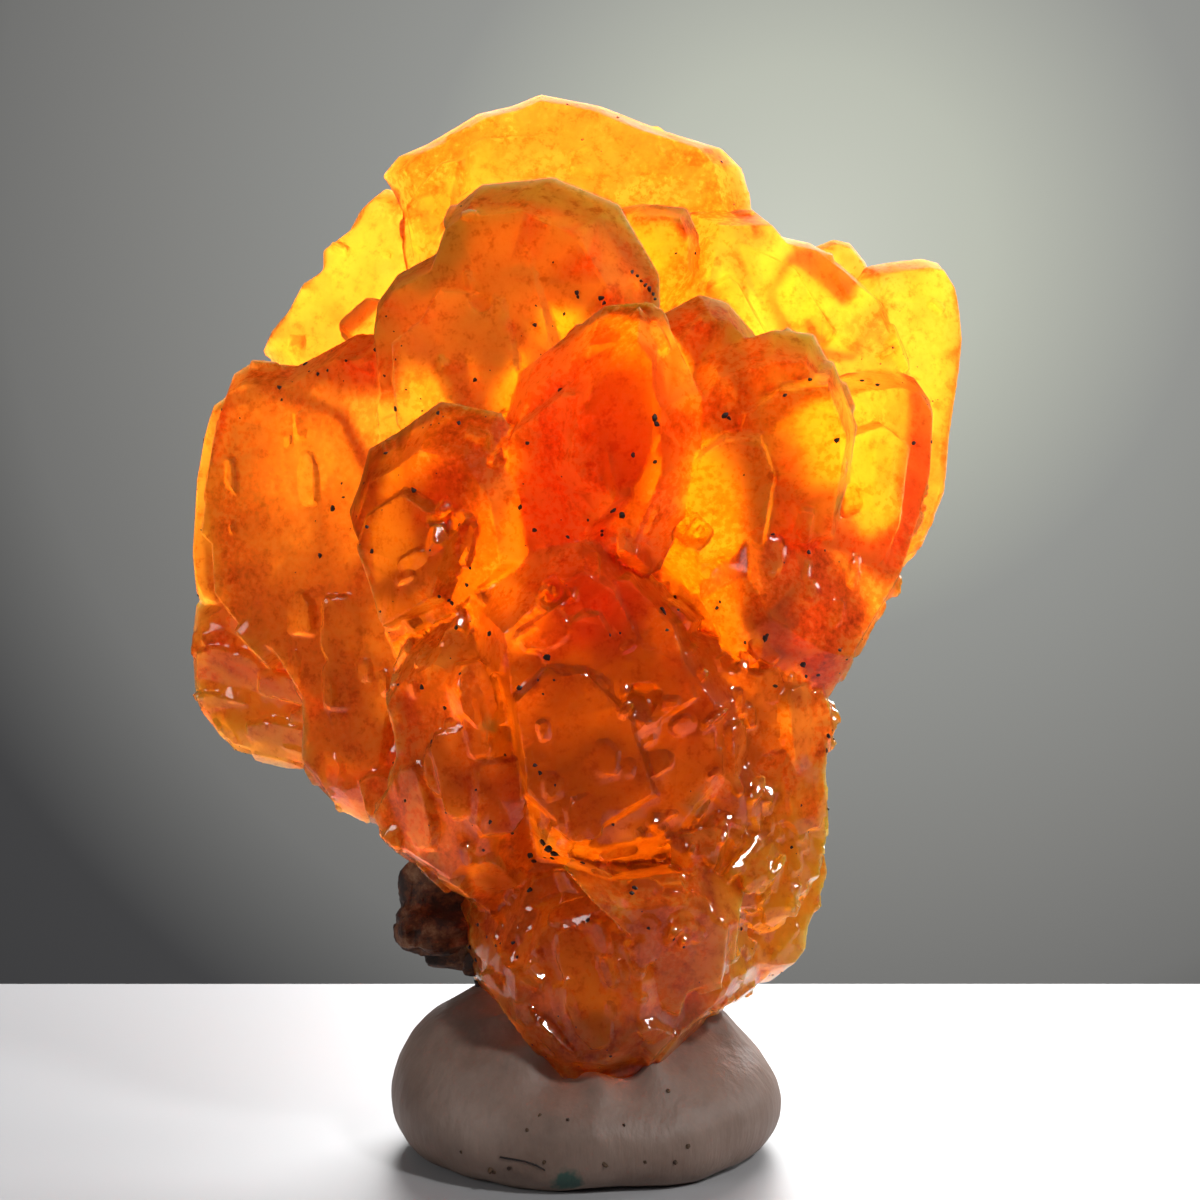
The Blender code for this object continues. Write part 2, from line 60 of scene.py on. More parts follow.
# The crystals' skin: how fine it is, its most triangles, up to what angle faces count as one, from
# what angle an edge stays sharp, and the height and frequency of each of the faces' waves
CRYSTAL_SKIN = 0.065
CRYSTAL_TRIANGLES = 190_000
FLAT = math.radians(1.0)
SHARP = math.radians(15)
FACE_WAVES = ((0.011, 0.7), (0.004, 2.6))

# Small growth: it thins out between two heights, chips crowd on the rough right flank and crumbs
# along the crumbly edge, with how far these reach and how steeply they thin out
TABLET_SHAPES = 5
LEAST_LEAN = 0.4
GROWN_BELOW = 6.0
SMOOTH_FROM = 15.0
LEAST_GROWN = 0.04
ROUGH_FLANK = Vector((4.4, -1.6, 7.6))
FLANK_REACH = 3.4
FLANK_STEEP = 1.6
LEAST_CHIPPED = 0.03
CRUMBLY_EDGE = (Vector((8.3, 0.6, 15.0)), Vector((5.4, -0.4, 9.8)))
CRUMBLY_REACH = 1.5
CRUMBLY_STEEP = 2.0

# Shiny blades that face the front light: pixel column and row, length and breadth in millimetres,
# and the turn of the length from upright in degrees
BLADES = (
    (516, 1008, 2.40, 0.34, -28), (566, 1050, 0.70, 0.22, -50), (581, 890, 1.56, 0.50, -38),
    (530, 985, 0.60, 0.22, -55), (550, 1034, 0.90, 0.24, -38), (750, 850, 2.30, 0.34, 46),
    (768, 792, 0.80, 0.30, 20), (757, 790, 0.80, 0.30, 30), (728, 820, 0.72, 0.22, 45),
    (722, 838, 0.48, 0.22, 25), (790, 818, 0.48, 0.28, 30), (712, 862, 0.36, 0.25, 20),
    (676, 926, 0.72, 0.28, 32), (684, 938, 0.42, 0.20, 30), (655, 822, 0.36, 0.28, 30),
    (661, 830, 0.24, 0.20, 10), (702, 676, 0.36, 0.22, 40), (741, 668, 0.29, 0.28, 10),
    (716, 718, 0.84, 0.17, 55), (626, 688, 0.60, 0.22, 20), (626, 712, 0.48, 0.17, 50),
    (410, 640, 1.08, 0.17, 28), (405, 655, 0.72, 0.17, 35), (460, 622, 0.60, 0.34, 30),
    (440, 365, 0.42, 0.17, -20), (444, 508, 0.60, 0.28, 40), (437, 537, 0.60, 0.34, 10),
    (551, 594, 0.31, 0.22, 10), (571, 597, 0.24, 0.22, 0), (540, 592, 0.19, 0.17, 30),
    (687, 523, 0.48, 0.20, 45), (700, 530, 0.36, 0.17, 45), (885, 355, 0.48, 0.22, 60),
    (534, 975, 0.60, 0.22, -40), (800, 835, 0.48, 0.22, 20), (776, 870, 0.96, 0.20, 40),
    (765, 895, 0.60, 0.17, 40), (791, 905, 0.36, 0.22, 30), (705, 870, 0.31, 0.20, 10),
    (697, 884, 0.24, 0.17, 20), (790, 770, 0.36, 0.25, 20), (640, 836, 0.19, 0.17, 0),
    (665, 838, 0.24, 0.14, 0), (690, 850, 0.29, 0.17, 30),
)
BLADE_HEIGHT = 0.5
BLADE_SUNK = 0.62
FRONT_LIGHT = Vector((50.0, -50.0, 70.0))

# The crystals' own orange, and how their fine flaws dim it
ORANGES = (
    (0.66, (0.52, 0.065, 0.002)),
    (0.88, (0.92, 0.135, 0.006)),
    (0.97, (1.0, 0.19, 0.012)),
    (1.0, (1.0, 0.28, 0.030)),
)
FLAWS = (
    (0.34, (0.72, 0.46, 0.28)),
    (0.46, (0.96, 0.88, 0.78)),
    (0.58, (1.0, 1.0, 1.0)),
)

# Tints of the crystals, some of them painted light and painted shade: how far and how finely their
# edges stray, and how soft they are
TINT_STRAY = 0.45
TINT_RAGGED = 1.6
TINT_ROUGH = 0.8
TINT_EDGE = 0.45
YELLOW = (1.0, 0.33, 0.022)
OCHRE = (0.95, 0.40, 0.015)
GREEN_GREY = (0.16, 0.15, 0.05)
# Painted shade: a darker brown where the crystal is thick and little light comes through
PAINTED_SHADE_BROWN = (0.42, 0.075, 0.002)
# Painted shade: a deeper orange for the thick lower body, where less back light comes through
PAINTED_SHADE_ORANGE = (0.52, 0.072, 0.002)
# Painted light: a lighter orange that lifts the upper plates where their upward bevels fall dark
PAINTED_LIGHT_ORANGE = (1.0, 0.50, 0.04)
AMBER = (1.0, 0.46, 0.03)
RIM_ORANGE = (1.0, 0.15, 0.012)
WARM_ORANGE = (1.0, 0.32, 0.025)
# Painted shade: the darkest orange, for the thick heart of the cluster
PAINTED_SHADE_HEART = (0.36, 0.045, 0.001)

# Each tint's centre and reach in millimetres, its colour and strength; a later one covers the earlier
CRYSTAL_TINTS_AND_PAINTED_LIGHT = (
    # Painted light: lighter orange over the two upper front plates
    ((-2.4, -1.0, 21.8), (5.0, 3.6, 5.0), PAINTED_LIGHT_ORANGE, 1.0),
    ((5.0, -1.2, 18.4), (3.8, 3.4, 4.2), PAINTED_LIGHT_ORANGE, 1.0),
    ((-7.0, -0.6, 13.2), (3.8, 3.4, 8.4), WARM_ORANGE, 0.6),
    ((0.3, 3.0, 25.2), (5.6, 2.4, 2.8), RIM_ORANGE, 0.8),
    ((7.9, 0.4, 17.0), (2.2, 3.5, 4.4), RIM_ORANGE, 0.7),
    ((-9.3, 1.0, 9.8), (2.6, 3.6, 2.9), AMBER, 0.8),
    ((5.6, 0.4, 21.8), (2.4, 3.0, 1.6), AMBER, 0.9),
    ((3.8, 0.0, 2.9), (1.0, 2.6, 0.7), YELLOW, 1.0),
    ((-7.2, 3.6, 22.3), (3.4, 2.6, 3.6), YELLOW, 1.0),
    ((9.0, 0.8, 20.0), (1.3, 4.0, 4.6), YELLOW, 0.9),
    ((-10.2, 2.0, 15.8), (0.8, 3.5, 3.6), YELLOW, 0.9),
    ((4.3, -1.2, 6.2), (2.4, 3.6, 4.0), OCHRE, 0.8),
    # Painted shade: darker brown over the thick middle lens and the thick left front plates
    ((1.0, -4.6, 17.2), (1.4, 1.8, 2.6), PAINTED_SHADE_BROWN, 0.9),
    ((-4.4, -3.4, 15.0), (2.5, 2.2, 2.8), PAINTED_SHADE_BROWN, 0.8),
    # Painted shade: deeper orange over the thick middle of the cluster
    ((0.6, -3.5, 10.5), (5.4, 4.0, 5.0), PAINTED_SHADE_ORANGE, 0.85),
    # Painted shade: a dark heart in the thickest middle
    ((0.4, -3.6, 10.8), (2.8, 2.6, 3.4), PAINTED_SHADE_HEART, 0.8),
    # Painted shade: deeper orange low down, where less back light comes through
    ((-0.5, -2.2, 4.8), (4.4, 3.6, 4.0), PAINTED_SHADE_ORANGE, 0.6),
    ((-2.2, -3.6, 10.4), (0.3, 0.8, 0.22), GREEN_GREY, 0.6),
    ((-0.9, -2.6, 7.9), (0.35, 0.9, 0.5), GREEN_GREY, 0.65),
    ((4.2, -2.9, 12.6), (0.9, 1.0, 0.55), GREEN_GREY, 0.45),
    ((2.5, -2.7, 8.7), (0.45, 0.9, 0.35), GREEN_GREY, 0.6),
)

# Grains: how deep they sit, and the number, widths and clusters of the loose ones on all sides
GRAIN_SHAPES = 4
GRAIN_SUNK = 0.4
FULL_TURN = 6.28
LOOSE_GRAINS = 380
FINEST_GRAIN = 0.04
GRAIN_SPREAD = 0.12
CLUSTER_BOX = ((-9, 9), (-4, 5), (2, 25))
CLUSTER_SPREAD = 0.5
MOST_IN_CLUSTER = 7
FAR_OUT = 40

# Dark grains seen on the crystals: pixel column, pixel row and width in millimetres
GRAINS = (
    (535, 325, 0.12), (475, 380, 0.12), (438, 413, 0.13), (386, 453, 0.11), (560, 390, 0.14),
    (577, 293, 0.13), (578, 297, 0.10), (601, 298, 0.17), (604, 303, 0.12), (632, 272, 0.13),
    (637, 276, 0.10), (641, 281, 0.10), (645, 285, 0.13), (649, 289, 0.15), (653, 294, 0.12),
    (655, 299, 0.10), (695, 253, 0.10), (655, 418, 0.20), (657, 424, 0.14), (725, 415, 0.19),
    (729, 418, 0.12), (785, 395, 0.12), (810, 380, 0.12), (633, 455, 0.15), (655, 462, 0.12),
    (613, 510, 0.18), (622, 515, 0.17), (602, 531, 0.09), (602, 535, 0.09), (568, 537, 0.12),
    (520, 507, 0.14), (535, 530, 0.13), (588, 520, 0.08), (547, 657, 0.19), (520, 688, 0.16),
    (543, 842, 0.25), (549, 848, 0.28), (555, 853, 0.22), (552, 858, 0.14), (530, 855, 0.20),
    (534, 861, 0.15), (582, 863, 0.14), (530, 890, 0.15), (635, 888, 0.15), (632, 893, 0.12),
    (588, 920, 0.14), (505, 755, 0.10), (535, 765, 0.12), (540, 773, 0.12), (490, 822, 0.12),
    (675, 597, 0.14), (662, 610, 0.18), (664, 613, 0.14), (678, 610, 0.10), (620, 633, 0.08),
    (667, 630, 0.10), (610, 635, 0.08), (717, 608, 0.11), (765, 638, 0.21), (767, 635, 0.14),
    (745, 642, 0.11), (803, 664, 0.18), (818, 675, 0.12), (806, 676, 0.10), (775, 686, 0.13),
    (462, 945, 0.24), (466, 957, 0.30), (471, 970, 0.26), (478, 984, 0.30), (484, 998, 0.24),
    (490, 1012, 0.18), (497, 1038, 0.14), (505, 1058, 0.26), (514, 1066, 0.24), (526, 1073, 0.22),
    (540, 1079, 0.18), (470, 947, 0.16), (476, 960, 0.14), (500, 1048, 0.14), (445, 708, 0.11),
    (460, 674, 0.10), (452, 603, 0.14), (449, 600, 0.10), (467, 585, 0.09), (430, 550, 0.08),
    (466, 584, 0.08), (470, 568, 0.08), (483, 850, 0.09), (543, 694, 0.08), (538, 680, 0.09),
    (554, 680, 0.08), (555, 785, 0.08), (512, 833, 0.10), (720, 602, 0.09),
)

# Matrix and tack: how fine their skins are, and the height and frequencies of each of their waves
MATRIX_SKIN = 0.07
TACK_SKIN = 0.1
MATRIX_WAVES = (
    (0.16, (1.3, 1.3, 1.3)), (0.10, (3.1, 3.1, 3.1)), (0.04, (8.0, 8.0, 8.0)),
)
TACK_WAVES = (
    (0.07, (0.55, 0.55, 0.8)), (0.03, (1.6, 1.6, 0.5)), (0.012, (6.0, 6.0, 1.2)),
    (0.008, (9.0, 9.0, 9.0)),
)

# Smoothing the tack before and after it is pressed on
KNEADING = 14
WIPING = 3

# Pressing against the crystals: what is nearer than HELD moves all the way, and what is farther than
# HOLD stays. PRESSED is how deep it goes, as a share of the gap, and EVENED how often this is evened
HELD = 0.42
HOLD = 0.95
PRESSED = 1.7
EVENED = 8

# Brown specks on the tack: pixel column, pixel row and width in millimetres
TACK_SPECKS = (
    (490, 1170, 0.20), (494, 1172, 0.12), (509, 1168, 0.14), (605, 1165, 0.20), (544, 1162, 0.12),
    (527, 1130, 0.09), (540, 1115, 0.10), (461, 1152, 0.09), (675, 1162, 0.13), (645, 1162, 0.09),
    (624, 1125, 0.10), (668, 1091, 0.12), (587, 1034, 0.12), (688, 1146, 0.12), (568, 1120, 0.09),
)

# The tack's one stain: centre and reach in millimetres, colour, strength and stray of its edge
STAIN_CENTRE = (-0.45, -3.75, 0.35)
STAIN_REACH = (0.42, 0.8, 0.34)
TEAL = (0.015, 0.075, 0.06)
STAIN_STRENGTH = 0.9
STAIN_STRAY = 0.8

# The fibre on the tack: pixels along it, its width, and by what share of this it is raised
FIBRE = ((500, 1157), (512, 1159), (524, 1161), (536, 1165), (545, 1170))
FIBRE_WIDTH = 0.045
FIBRE_RAISED = 0.2

# The floor in metres: half its width and depth, its far edge and how far it lies under the tack
FLOOR_HALF = (0.05, 0.0155)
FLOOR_EDGE = 0.0176
FLOOR_UNDER = 0.00002

# Lights: name, place, aim and width in millimetres, radiance, and whether it shines through
LIGHTS = (
    ("back light", (10.0, 60.0, 48.0), (0.0, 0.0, 20.0), 74.0, 10.5, True),
    ("front light", FRONT_LIGHT, (0.0, 0.0, 10.0), 13.5, 90.0, False),
    ("fill light", (-50.0, -45.0, 35.0), (0.0, 0.0, 4.0), 20.0, 9.0, False),
    ("side light", (75.0, 12.0, 30.0), (0.0, 0.0, 10.0), 15.0, 25.0, True),
)

# The surround: its colour by how far a direction is from that of its bright spot
BRIGHT_SPOT = Vector((0.135, 1.0, 0.27))
SURROUND = (
    (0.0, (0.60, 0.62, 0.54)),
    (0.12, (0.50, 0.52, 0.45)),
    (0.25, (0.30, 0.305, 0.29)),
    (0.40, (0.225, 0.225, 0.215)),
    (0.50, (0.17, 0.17, 0.165)),
    (0.60, (0.055, 0.055, 0.057)),
    (0.80, (0.04, 0.04, 0.042)),
)


def in_millimetres(node):
    """A CAD node's mesh in millimetres with its loose triangles joined."""
    bm = bmesh.new()
    bm.from_mesh(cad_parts[node].data)
    bmesh.ops.scale(bm, vec=(1 / MM, 1 / MM, 1 / MM), verts=bm.verts)
    bmesh.ops.remove_doubles(bm, verts=bm.verts, dist=SEAM)
    return bm


def linked(name, bm):
    """A new object with the mesh of bm, which is used up."""
    mesh = bpy.data.meshes.new(name)
    bm.to_mesh(mesh)
    bm.free()
    made = bpy.data.objects.new(name, mesh)
    bpy.context.scene.collection.objects.link(made)
    return made


def even_skin(bm, voxel, most_triangles=None):
    """One closed skin round everything in bm, thinned to at most that many triangles."""
    rough = linked("rough", bm)
    skin = rough.modifiers.new("Skin", "REMESH")
    skin.mode = "VOXEL"
    skin.voxel_size = voxel
    graph = bpy.context.evaluated_depsgraph_get()
    count = 2 * len(rough.evaluated_get(graph).data.polygons)
    if most_triangles and count > most_triangles:
        thinned = rough.modifiers.new("Thinned", "DECIMATE")
        thinned.ratio = most_triangles / count
    graph = bpy.context.evaluated_depsgraph_get()
    made = bmesh.new()
    made.from_mesh(rough.evaluated_get(graph).to_mesh())
    bpy.data.objects.remove(rough)
    made.normal_update()
    return made


def finished(name, bm, material, slot, *nodes):
    """The piece of the millimetre mesh bm, in metres, standing for the CAD nodes."""
    bmesh.ops.scale(bm, vec=(MM, MM, MM), verts=bm.verts)
    piece = linked(name, bm)
    piece.data.materials.append(material)
    piece.data.shade_smooth()
    piece.data.set_sharp_from_angle(angle=SHARP)
    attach(piece, "root")
    if nodes:
        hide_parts(*nodes)
    return piece


def sight(px, py):
    """The direction in which the eye sees a pixel of the photograph."""
    along = Vector((px - PHOTO_SIDE / 2, FOCAL_PIXELS, PHOTO_SIDE / 2 - py)).normalized()
    return Matrix.Rotation(PITCH, 3, "X") @ along


def seen(tree, px, py):
    """The point of the tree's mesh that the eye sees at a pixel, and its normal."""
    place, normal, _, _ = tree.ray_cast(EYE, sight(px, py))
    return place, normal


def rough_shapes(chance, number):
    """Bmeshes of unit lumps with uneven corners."""
    shapes = []
    for _ in range(number):
        bm = bmesh.new()
        bmesh.ops.create_icosphere(bm, subdivisions=1, radius=0.5)
        for vert in bm.verts:
            vert.co *= chance.uniform(0.7, 1.25)
        shapes.append(bm)
    return shapes


def on_face(point, normal, spin, size, sunk):
    """The matrix that sets a unit lump of that size on a face, sunk by a share of its height."""
    turn = normal.to_track_quat("Z", "Y") @ Quaternion((0, 0, 1), spin)
    middle = point + normal * size[2] * (0.5 - sunk)
    return Matrix.Translation(middle) @ turn.to_matrix().to_4x4() @ Matrix.Diagonal((*size, 1.0))


def tree_of(piece):
    """A search tree of a finished piece's mesh, in millimetres."""
    bm = bmesh.new()
    bm.from_mesh(piece.data)
    bmesh.ops.scale(bm, vec=(1 / MM, 1 / MM, 1 / MM), verts=bm.verts)
    tree = BVHTree.FromBMesh(bm)
    bm.free()
    return tree


def tablet_shapes(chance):
    """Bmeshes of unit crystal tablets with unevenly clipped corners and sloping edges."""
    shapes = []
    for _ in range(TABLET_SHAPES):
        bm = bmesh.new()
        bmesh.ops.create_cube(bm, size=1.0)
        for upright in [e for e in bm.edges if abs(e.verts[0].co.z - e.verts[1].co.z) > 0.5]:
            bmesh.ops.bevel(
                bm, geom=[upright], offset=chance.uniform(0.08, 0.34), segments=1,
                profile=0.5, affect="EDGES", material=-1)
        top = [v for v in bm.verts if v.co.z > 0]
        slope = chance.uniform(0.72, 0.9)
        bmesh.ops.scale(bm, vec=(slope, slope, 1.0), verts=top)
        shapes.append(bm)
    return shapes


def add_shape(bm, shape, place):
    """Copies the small bmesh shape into bm at the matrix place."""
    copies = [bm.verts.new(place @ v.co) for v in shape.verts]
    lookup = dict(zip(shape.verts, copies))
    for face in shape.faces:
        bm.faces.new([lookup[v] for v in face.verts])


def surface_points(bm, number, chance, wanted=None):
    """Seeded random points of bm's surface, each with its normal and its face's long direction."""
    along = bm.faces.layers.float_vector["along"]
    faces = list(bm.faces)
    areas = [face.calc_area() for face in faces]
    points = []
    while len(points) < number:
        face = chance.choices(faces, areas)[0]
        a, b, c = (v.co for v in face.verts)
        s, t = sorted((chance.random(), chance.random()))
        point = a * s + b * (t - s) + c * (1 - t)
        if wanted is None or chance.random() < wanted(point):
            points.append((point, face.normal.copy(), face[along].copy()))
    return points


def standing(point, normal, along, tilt, size, sunk):
    """The matrix that puts a unit tablet of that size on a face, sunk by a share of its height."""
    lean = Quaternion(along, tilt)
    up = lean @ normal
    turn = Matrix((along, up.cross(along), up)).transposed().to_4x4()
    middle = point + up * size[2] * (0.5 - sunk)
    return Matrix.Translation(middle) @ turn @ Matrix.Diagonal((*size, 1.0))


def lower_share(point):
    """How much of the small growth a point gets: most low down."""
    low = max(0.0, min(1.0, (SMOOTH_FROM - point.z) / (SMOOTH_FROM - GROWN_BELOW)))
    return LEAST_GROWN + (1 - LEAST_GROWN) * low


def flank_share(point):
    """How many of the chips a point gets: most on the rough right flank."""
    near = max(0.0, 1.0 - (point - ROUGH_FLANK).length / FLANK_REACH)
    return LEAST_CHIPPED + (1 - LEAST_CHIPPED) * min(1.0, FLANK_STEEP * near)


def edge_share(point):
    """How many of the crumbs a point gets: most along the crumbly lower right edge."""
    way = CRUMBLY_EDGE[1] - CRUMBLY_EDGE[0]
    along = max(0.0, min(1.0, (point - CRUMBLY_EDGE[0]).dot(way) / way.length_squared))
    near = 1.0 - (point - CRUMBLY_EDGE[0] - way * along).length / CRUMBLY_REACH
    return max(0.0, min(1.0, CRUMBLY_STEEP * near))


# Small growth: number, share by place, lengths, breadths as shares of the length, heights, most
# lean in degrees, shares sunk
GROWTH = (
    (26, None, (2.0, 4.6), (0.3, 0.7), (0.6, 0.6), 1.5, (0.9, 0.95)),
    (110, lower_share, (1.2, 3.0), (0.35, 0.8), (0.5, 0.9), 17, (0.7, 0.9)),
    (150, lower_share, (0.5, 1.5), (0.3, 0.7), (0.3, 0.5), 16, (0.6, 0.85)),
    (300, flank_share, (0.25, 1.0), (0.2, 0.5), (0.2, 0.4), 32, (0.5, 0.8)),
    (150, edge_share, (0.2, 0.6), (0.4, 0.9), (0.2, 0.4), 40, (0.4, 0.7)),
    (420, lower_share, (0.3, 1.0), (0.3, 0.8), (0.3, 0.5), 26, (0.74, 0.92)),
)


def mark_long_edges(bm):
    """Joins the coplanar triangles and keeps on each face the direction of its longest edge."""
    bmesh.ops.dissolve_limit(bm, angle_limit=FLAT, verts=bm.verts, edges=bm.edges)
    along = bm.faces.layers.float_vector.new("along")
    for face in bm.faces:
        longest = max(face.edges, key=lambda edge: edge.calc_length())
        face[along] = (longest.verts[1].co - longest.verts[0].co).normalized()
    bmesh.ops.triangulate(bm, faces=bm.faces)
    bm.normal_update()


def held(tree, place):
    """Whether the whole underside of a tablet at that place lies inside the crystals."""
    for x, y in ((-0.5, -0.5), (-0.5, 0.5), (0.5, -0.5), (0.5, 0.5)):
        corner = place @ Vector((x, y, -0.5))
        nearest, normal, _, _ = tree.find_nearest(corner)
        if (corner - nearest).dot(normal) > 0:
            return False
    return True


def blade_place(tree, px, py, length, breadth, turn):
    """The place of a blade at a pixel, turned so that it shines in the front light."""
    point, _ = seen(tree, px, py)
    facing = ((FRONT_LIGHT - point).normalized() + (EYE - point).normalized()).normalized()
    upright = Vector((0, 0, 1)) - facing * facing.z
    upright.rotate(Quaternion(facing, math.radians(-turn)))
    size = (length, breadth, BLADE_HEIGHT)
    return standing(point, facing, upright.normalized(), 0.0, size, BLADE_SUNK)


def grow(bm):
    """Adds growth ledges, small tablets and chips to the faces of the crystals."""
    chance = random.Random("growth")
    shapes = tablet_shapes(chance)
    mark_long_edges(bm)
    tree = BVHTree.FromBMesh(bm)
    grown = []
    for number, share, lengths, breadths, heights, lean, sinks in GROWTH:
        added = 0
        while added < number:
            for point, normal, along in surface_points(bm, number, chance, share):
                length = chance.uniform(*lengths)
                size = (length, length * chance.uniform(*breadths), chance.uniform(*heights))
                drawn = chance.uniform(-1.0, 1.0)
                lean_share = math.copysign(max(abs(drawn), LEAST_LEAN), drawn)
                tilt = math.radians(lean * lean_share)
                place = standing(point, normal, along, tilt, size, chance.uniform(*sinks))
                if added < number and held(tree, place):
                    grown.append((chance.choice(shapes), place))
                    added += 1
    for px, py, length, breadth, turn in BLADES:
        grown.append((chance.choice(shapes), blade_place(tree, px, py, length, breadth, turn)))
    for shape, place in grown:
        add_shape(bm, shape, place)
    for shape in shapes:
        shape.free()
    bmesh.ops.recalc_face_normals(bm, faces=bm.faces)


def facet_tones(bm):
    """A tree of the facets and a seeded tone for each of them."""
    chance = random.Random("facets")
    tones = {}
    values = []
    for face in bm.faces:
        key = tuple(round(x, 1) for x in (*face.normal, face.normal.dot(face.verts[0].co)))
        values.append(tones.setdefault(key, chance.random()))
    return BVHTree.FromBMesh(bm), values


def weather(bm):
    """Moves the skin in and out a little, as natural faces are never quite flat."""
    for vert in bm.verts:
        wave = sum(height * noise.noise(vert.co * often) for height, often in FACE_WAVES)
        vert.co = vert.co + vert.normal * wave
    bm.normal_update()


def note_tones(bm, facets, tones):
    """Keeps on each vertex of the skin the tone of the facet it comes from."""
    layer = bm.verts.layers.float.new("facet")
    for vert in bm.verts:
        _, _, index, _ = facets.find_nearest(vert.co)
        vert[layer] = tones[index]


def tint_share(place, centre, reach):
    """How much of a tint a place gets: all near the spot's centre, none beyond its ragged edge."""
    offset = [(p - c) / r for p, c, r in zip(place, centre, reach)]
    apart = math.hypot(*offset)
    if apart > 1.0 + TINT_STRAY:
        return 0.0
    apart += TINT_STRAY * noise.fractal(place * TINT_RAGGED, TINT_ROUGH, 2.0, 3)
    inside = max(0.0, min(1.0, (1.0 - apart) / TINT_EDGE))
    return inside * inside * (3 - 2 * inside)


def note_tints_and_painted_light(bm):
    """Keeps on each vertex the colour of the tints there, painted light and shade among them, and how
    much they cover.
    """
    tint = bm.verts.layers.float_vector.new("tint")
    cover = bm.verts.layers.float.new("tint and painted light cover")
    for vert in bm.verts:
        colour = Vector()
        covered = 0.0
        for centre, reach, hue, strength in CRYSTAL_TINTS_AND_PAINTED_LIGHT:
            share = strength * tint_share(vert.co, centre, reach)
            colour = colour.lerp(Vector(hue), share)
            covered += (1 - covered) * share
        vert[tint] = colour / max(covered, 0.001)
        vert[cover] = covered


def crystals(material):
    """The cluster of crystals with its growth, in one closed skin."""
    bm = in_millimetres("wulfenite_crystals")
    grow(bm)
    bmesh.ops.triangulate(bm, faces=bm.faces)
    bm.normal_update()
    facets, tones = facet_tones(bm)
    bm = even_skin(bm, CRYSTAL_SKIN, CRYSTAL_TRIANGLES)
    note_tones(bm, facets, tones)
    note_tints_and_painted_light(bm)
    weather(bm)
    return finished("crystal_cluster", bm, material, "crystal", "wulfenite_crystals")


def roughen(bm, waves):
    """Moves a skin along its normals by noises, each with a height and a frequency vector."""
    for vert in bm.verts:
        rise = 0.0
        for height, often in waves:
            rise += height * noise.noise(Vector(vert.co) * Vector(often))
        vert.co = vert.co + vert.normal * rise
    bm.normal_update()


def press_against(bm, tree):
    """Closes the gap to the crystals: what lies near them moves into them, the rest follows evenly."""
    moves = {}
    for vert in bm.verts:
        place, _, _, apart = tree.find_nearest(vert.co)
        follow = max(0.0, min(1.0, (HOLD - apart) / (HOLD - HELD)))
        moves[vert] = (place - vert.co) * PRESSED * follow
    for _ in range(EVENED):
        evened = {}
        for vert, move in moves.items():
            near = [moves[edge.other_vert(vert)] for edge in vert.link_edges]
            evened[vert] = (move + sum(near, Vector())) / (1 + len(near))
        moves = evened
    for vert, move in moves.items():
        vert.co = vert.co + move
    bm.normal_update()


def matrix_scrap(material, crystal_tree):
    """The rough scrap of matrix, grown against the crystals."""
    bm = even_skin(in_millimetres("matrix"), MATRIX_SKIN)
    roughen(bm, MATRIX_WAVES)
    press_against(bm, crystal_tree)
    return finished("matrix_scrap", bm, material, "matrix", "matrix")


def smoothed(bm, times):
    """Smooths a skin that many times."""
    for _ in range(times):
        bmesh.ops.smooth_vert(
            bm, verts=bm.verts, factor=0.5, use_axis_x=True, use_axis_y=True, use_axis_z=True)


def tack_lump(material, crystal_tree):
    """The kneaded lump of tack, pressed against the foot of the crystals."""
    bm = even_skin(in_millimetres("mineral_tack"), TACK_SKIN)
    smoothed(bm, KNEADING)
    bm.normal_update()
    roughen(bm, TACK_WAVES)
    press_against(bm, crystal_tree)
    smoothed(bm, WIPING)
    for vert in bm.verts:
        vert.co.z = max(vert.co.z, 0.0)
    return finished("tack_lump", bm, material, "tack", "mineral_tack")


def sprinkled(name, material, slot, tree, spots, loose):
    """One mesh of rough grains: those seen at named pixels and loose ones on all sides."""
    chance = random.Random(name)
    shapes = rough_shapes(chance, GRAIN_SHAPES)
    bm = bmesh.new()
    places = []
    for px, py, width in spots:
        point, normal = seen(tree, px, py)
        if point:
            places.append((point, normal, width))
    for point, normal in loose:
        places.append((point, normal, FINEST_GRAIN + GRAIN_SPREAD * chance.random() ** 3))
    for point, normal, width in places:
        size = (width, width * chance.uniform(0.6, 1.0), width * chance.uniform(0.4, 0.8))
        place = on_face(point, normal, chance.uniform(0, FULL_TURN), size, GRAIN_SUNK)
        add_shape(bm, chance.choice(shapes), place)
    for shape in shapes:
        shape.free()
    return finished(name, bm, material, slot)


def loose_places(tree, number, chance):
    """Seeded places on all sides of a mesh, in loose clusters, each with its normal."""
    places = []
    while len(places) < number:
        aim = Vector([chance.uniform(*side) for side in CLUSTER_BOX])
        way = Vector((chance.gauss(0, 1), chance.gauss(0, 1), chance.gauss(0, 0.7))).normalized()
        for _ in range(chance.randint(1, MOST_IN_CLUSTER)):
            stray = Vector([chance.gauss(0, CLUSTER_SPREAD) for _ in range(3)])
            point, normal, _, _ = tree.ray_cast(aim + stray - way * FAR_OUT, way)
            if point:
                places.append((point, normal))
    return places[:number]


